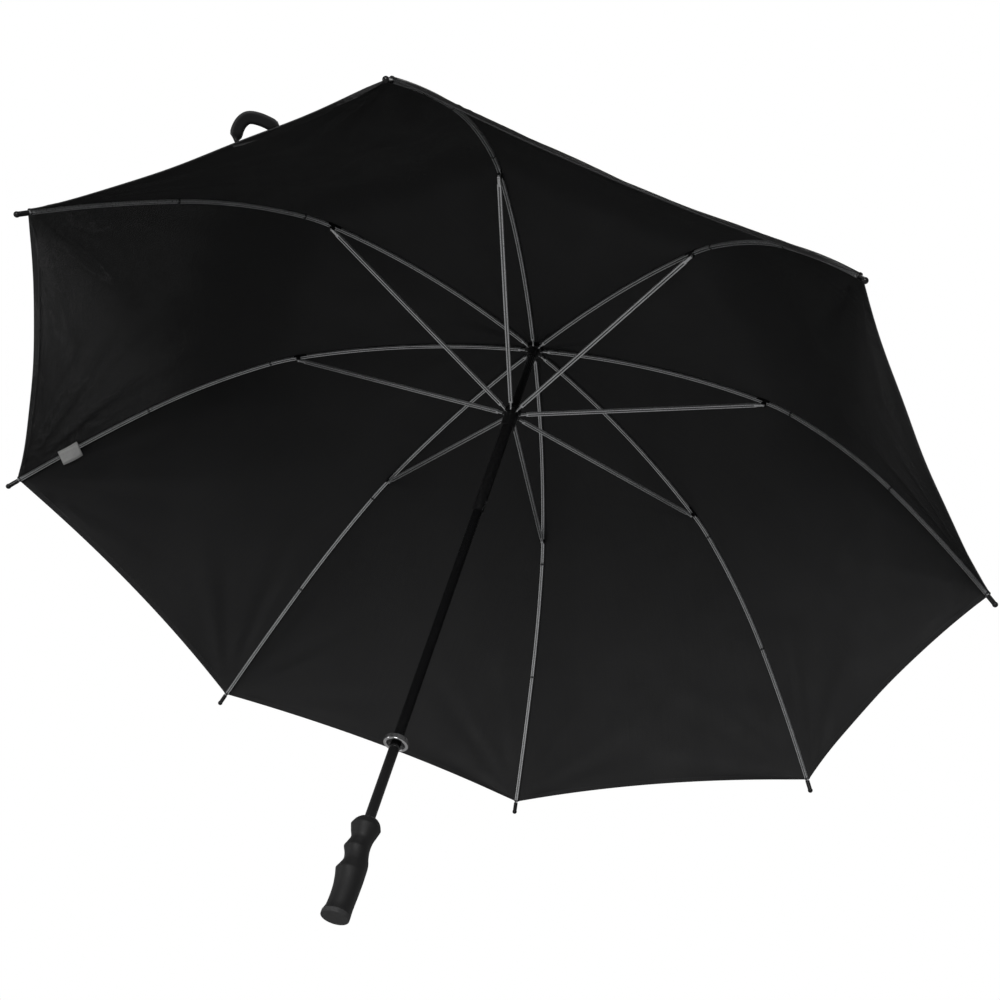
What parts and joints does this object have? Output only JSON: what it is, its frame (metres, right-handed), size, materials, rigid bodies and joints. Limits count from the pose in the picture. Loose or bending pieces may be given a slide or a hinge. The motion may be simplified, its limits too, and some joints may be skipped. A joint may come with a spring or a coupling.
{
  "type": "golf umbrella",
  "caption": "Large open stick umbrella: black fabric canopy on steel ribs and stretchers, folding to a sliding runner on a straight shaft with a shaped grip.",
  "frame": {"origin": "centre of the handle's flat end face", "axes": "+Z along the shaft from the handle to the spike; +X along rib 1"},
  "size_m": [1.2568, 1.2568, 0.9459],
  "materials": {
    "rib_steel": "zinc plated, satin",
    "wire_steel": "drawn wire",
    "shaft_paint": "gloss black",
    "black_plastic": "satin moulded",
    "tip_plastic": "moulded, slightly glossy",
    "grip_rubber": "soft touch, matte",
    "cap_plastic": "dark grey, fine grain",
    "canopy_fabric": "plain woven polyester",
    "strap_tape": "ribbed tape",
    "label_fabric": "white satin ribbon",
    "ring_metal": "bright plated"
  },
  "bodies": {
    "root": {"canopy_cover": "canopy_fabric", "canopy_rosette": "canopy_fabric", "closing_strap": "strap_tape", "care_label": "label_fabric", "shaft_tube": "shaft_paint", "top_notch": "black_plastic", "notch_wire": "wire_steel", "shaft_pins": "wire_steel", "catch_springs": "wire_steel", "ferrule_cup": "black_plastic", "ferrule_spike": "black_plastic", "handle_grip": "grip_rubber", "handle_core": "black_plastic", "handle_cap": "cap_plastic"},
    "rib_inner_1": {"rib_inner_1": "rib_steel", "joint_bracket_1": "black_plastic"},
    "rib_outer_1": {"rib_outer_1": "rib_steel", "rib_tip_1": "tip_plastic"},
    "stretcher_1": {"stretcher_1": "rib_steel"},
    "rib_inner_2": {"rib_inner_2": "rib_steel", "joint_bracket_2": "black_plastic"},
    "rib_outer_2": {"rib_outer_2": "rib_steel", "rib_tip_2": "tip_plastic"},
    "stretcher_2": {"stretcher_2": "rib_steel"},
    "rib_inner_3": {"rib_inner_3": "rib_steel", "joint_bracket_3": "black_plastic"},
    "rib_outer_3": {"rib_outer_3": "rib_steel", "rib_tip_3": "tip_plastic"},
    "stretcher_3": {"stretcher_3": "rib_steel"},
    "rib_inner_4": {"rib_inner_4": "rib_steel", "joint_bracket_4": "black_plastic"},
    "rib_outer_4": {"rib_outer_4": "rib_steel", "rib_tip_4": "tip_plastic"},
    "stretcher_4": {"stretcher_4": "rib_steel"},
    "rib_inner_5": {"rib_inner_5": "rib_steel", "joint_bracket_5": "black_plastic"},
    "rib_outer_5": {"rib_outer_5": "rib_steel", "rib_tip_5": "tip_plastic"},
    "stretcher_5": {"stretcher_5": "rib_steel"},
    "rib_inner_6": {"rib_inner_6": "rib_steel", "joint_bracket_6": "black_plastic"},
    "rib_outer_6": {"rib_outer_6": "rib_steel", "rib_tip_6": "tip_plastic"},
    "stretcher_6": {"stretcher_6": "rib_steel"},
    "rib_inner_7": {"rib_inner_7": "rib_steel", "joint_bracket_7": "black_plastic"},
    "rib_outer_7": {"rib_outer_7": "rib_steel", "rib_tip_7": "tip_plastic"},
    "stretcher_7": {"stretcher_7": "rib_steel"},
    "rib_inner_8": {"rib_inner_8": "rib_steel", "joint_bracket_8": "black_plastic"},
    "rib_outer_8": {"rib_outer_8": "rib_steel", "rib_tip_8": "tip_plastic"},
    "stretcher_8": {"stretcher_8": "rib_steel"},
    "runner": {"runner_crown": "black_plastic", "runner_sleeve": "shaft_paint", "runner_wire": "wire_steel"},
    "closing_ring": {"closing_ring": "ring_metal"},
    "upper_catch": {"upper_catch": "rib_steel"},
    "lower_catch": {"lower_catch": "rib_steel"}
  },
  "joints": [
    {"name": "fold_1", "type": "hinge", "parent": "root", "child": "rib_inner_1", "pos_m": [0.0105, 0, 0.867], "axis": [0, 1, 0], "range_deg": [0, 77], "deforming": ["canopy_cover", "closing_strap", "care_label", "upper_catch", "lower_catch"]},
    {"name": "fold_2", "type": "hinge", "parent": "root", "child": "rib_inner_2", "pos_m": [0.00742, 0.00742, 0.867], "axis": [-0.7071, 0.7071, 0], "range_deg": [0, 77]},
    {"name": "fold_3", "type": "hinge", "parent": "root", "child": "rib_inner_3", "pos_m": [0, 0.0105, 0.867], "axis": [-1, 0, 0], "range_deg": [0, 77]},
    {"name": "fold_4", "type": "hinge", "parent": "root", "child": "rib_inner_4", "pos_m": [-0.00742, 0.00742, 0.867], "axis": [-0.7071, -0.7071, 0], "range_deg": [0, 77]},
    {"name": "fold_5", "type": "hinge", "parent": "root", "child": "rib_inner_5", "pos_m": [-0.0105, 0, 0.867], "axis": [0, -1, 0], "range_deg": [0, 77]},
    {"name": "fold_6", "type": "hinge", "parent": "root", "child": "rib_inner_6", "pos_m": [-0.00742, -0.00742, 0.867], "axis": [0.7071, -0.7071, 0], "range_deg": [0, 77]},
    {"name": "fold_7", "type": "hinge", "parent": "root", "child": "rib_inner_7", "pos_m": [0, -0.0105, 0.867], "axis": [1, 0, 0], "range_deg": [0, 77]},
    {"name": "fold_8", "type": "hinge", "parent": "root", "child": "rib_inner_8", "pos_m": [0.00742, -0.00742, 0.867], "axis": [0.7071, 0.7071, 0], "range_deg": [0, 77]},
    {"name": "rib_flex_1", "type": "hinge", "parent": "rib_inner_1", "child": "rib_outer_1", "pos_m": [0.32771, 0, 0.80663], "axis": [0, 1, 0], "range_deg": [-32.51, 0]},
    {"name": "prop_1", "type": "hinge", "parent": "rib_inner_1", "child": "stretcher_1", "pos_m": [0.32587, 0, 0.80198], "axis": [0, 1, 0], "range_deg": [-154, 0]},
    {"name": "rib_flex_2", "type": "hinge", "parent": "rib_inner_2", "child": "rib_outer_2", "pos_m": [0.23172, 0.23172, 0.80663], "axis": [-0.7071, 0.7071, 0], "range_deg": [-32.51, 0]},
    {"name": "prop_2", "type": "hinge", "parent": "rib_inner_2", "child": "stretcher_2", "pos_m": [0.23042, 0.23042, 0.80198], "axis": [-0.7071, 0.7071, 0], "range_deg": [-154, 0]},
    {"name": "rib_flex_3", "type": "hinge", "parent": "rib_inner_3", "child": "rib_outer_3", "pos_m": [0, 0.32771, 0.80663], "axis": [-1, 0, 0], "range_deg": [-32.51, 0]},
    {"name": "prop_3", "type": "hinge", "parent": "rib_inner_3", "child": "stretcher_3", "pos_m": [0, 0.32587, 0.80198], "axis": [-1, 0, 0], "range_deg": [-154, 0]},
    {"name": "rib_flex_4", "type": "hinge", "parent": "rib_inner_4", "child": "rib_outer_4", "pos_m": [-0.23172, 0.23172, 0.80663], "axis": [-0.7071, -0.7071, 0], "range_deg": [-32.51, 0]},
    {"name": "prop_4", "type": "hinge", "parent": "rib_inner_4", "child": "stretcher_4", "pos_m": [-0.23042, 0.23042, 0.80198], "axis": [-0.7071, -0.7071, 0], "range_deg": [-154, 0]},
    {"name": "rib_flex_5", "type": "hinge", "parent": "rib_inner_5", "child": "rib_outer_5", "pos_m": [-0.32771, 0, 0.80663], "axis": [0, -1, 0], "range_deg": [-32.51, 0]},
    {"name": "prop_5", "type": "hinge", "parent": "rib_inner_5", "child": "stretcher_5", "pos_m": [-0.32587, 0, 0.80198], "axis": [0, -1, 0], "range_deg": [-154, 0]},
    {"name": "rib_flex_6", "type": "hinge", "parent": "rib_inner_6", "child": "rib_outer_6", "pos_m": [-0.23172, -0.23172, 0.80663], "axis": [0.7071, -0.7071, 0], "range_deg": [-32.51, 0]},
    {"name": "prop_6", "type": "hinge", "parent": "rib_inner_6", "child": "stretcher_6", "pos_m": [-0.23042, -0.23042, 0.80198], "axis": [0.7071, -0.7071, 0], "range_deg": [-154, 0]},
    {"name": "rib_flex_7", "type": "hinge", "parent": "rib_inner_7", "child": "rib_outer_7", "pos_m": [0, -0.32771, 0.80663], "axis": [1, 0, 0], "range_deg": [-32.51, 0]},
    {"name": "prop_7", "type": "hinge", "parent": "rib_inner_7", "child": "stretcher_7", "pos_m": [0, -0.32587, 0.80198], "axis": [1, 0, 0], "range_deg": [-154, 0]},
    {"name": "rib_flex_8", "type": "hinge", "parent": "rib_inner_8", "child": "rib_outer_8", "pos_m": [0.23172, -0.23172, 0.80663], "axis": [0.7071, 0.7071, 0], "range_deg": [-32.51, 0]},
    {"name": "prop_8", "type": "hinge", "parent": "rib_inner_8", "child": "stretcher_8", "pos_m": [0.23042, -0.23042, 0.80198], "axis": [0.7071, 0.7071, 0], "range_deg": [-154, 0]},
    {"name": "runner_pivot", "type": "hinge", "parent": "stretcher_1", "child": "runner", "pos_m": [0.0105, 0, 0.73696], "axis": [0, 1, 0], "range_deg": [0, 77]},
    {"name": "ring_slide", "type": "slide", "parent": "root", "child": "closing_ring", "axis": [0, 0, 1], "range_m": [-0.093, 0.28]},
    {"name": "upper_catch_press", "type": "slide", "parent": "root", "child": "upper_catch", "axis": [0.342, 0.9397, 0], "range_m": [0, 0.0029], "stiffness_N_per_m": 400, "springref_m": -0.003, "deforming": ["catch_springs"]},
    {"name": "lower_catch_press", "type": "slide", "parent": "root", "child": "lower_catch", "axis": [-0.9397, -0.342, 0], "range_m": [0, 0.0029], "stiffness_N_per_m": 400, "springref_m": -0.003}
  ],
  "couplings": [
    {"joint": "fold_2", "follows": "fold_1", "ratio": 1},
    {"joint": "fold_3", "follows": "fold_1", "ratio": 1},
    {"joint": "fold_4", "follows": "fold_1", "ratio": 1},
    {"joint": "fold_5", "follows": "fold_1", "ratio": 1},
    {"joint": "fold_6", "follows": "fold_1", "ratio": 1},
    {"joint": "fold_7", "follows": "fold_1", "ratio": 1},
    {"joint": "fold_8", "follows": "fold_1", "ratio": 1},
    {"joint": "rib_flex_1", "follows": "fold_1", "ratio": -0.41567},
    {"joint": "prop_1", "follows": "fold_1", "ratio": -2},
    {"joint": "rib_flex_2", "follows": "fold_1", "ratio": -0.41567},
    {"joint": "prop_2", "follows": "fold_1", "ratio": -2},
    {"joint": "rib_flex_3", "follows": "fold_1", "ratio": -0.41567},
    {"joint": "prop_3", "follows": "fold_1", "ratio": -2},
    {"joint": "rib_flex_4", "follows": "fold_1", "ratio": -0.41567},
    {"joint": "prop_4", "follows": "fold_1", "ratio": -2},
    {"joint": "rib_flex_5", "follows": "fold_1", "ratio": -0.41567},
    {"joint": "prop_5", "follows": "fold_1", "ratio": -2},
    {"joint": "rib_flex_6", "follows": "fold_1", "ratio": -0.41567},
    {"joint": "prop_6", "follows": "fold_1", "ratio": -2},
    {"joint": "rib_flex_7", "follows": "fold_1", "ratio": -0.41567},
    {"joint": "prop_7", "follows": "fold_1", "ratio": -2},
    {"joint": "rib_flex_8", "follows": "fold_1", "ratio": -0.41567},
    {"joint": "prop_8", "follows": "fold_1", "ratio": -2},
    {"joint": "runner_pivot", "follows": "fold_1", "ratio": 1}
  ]
}
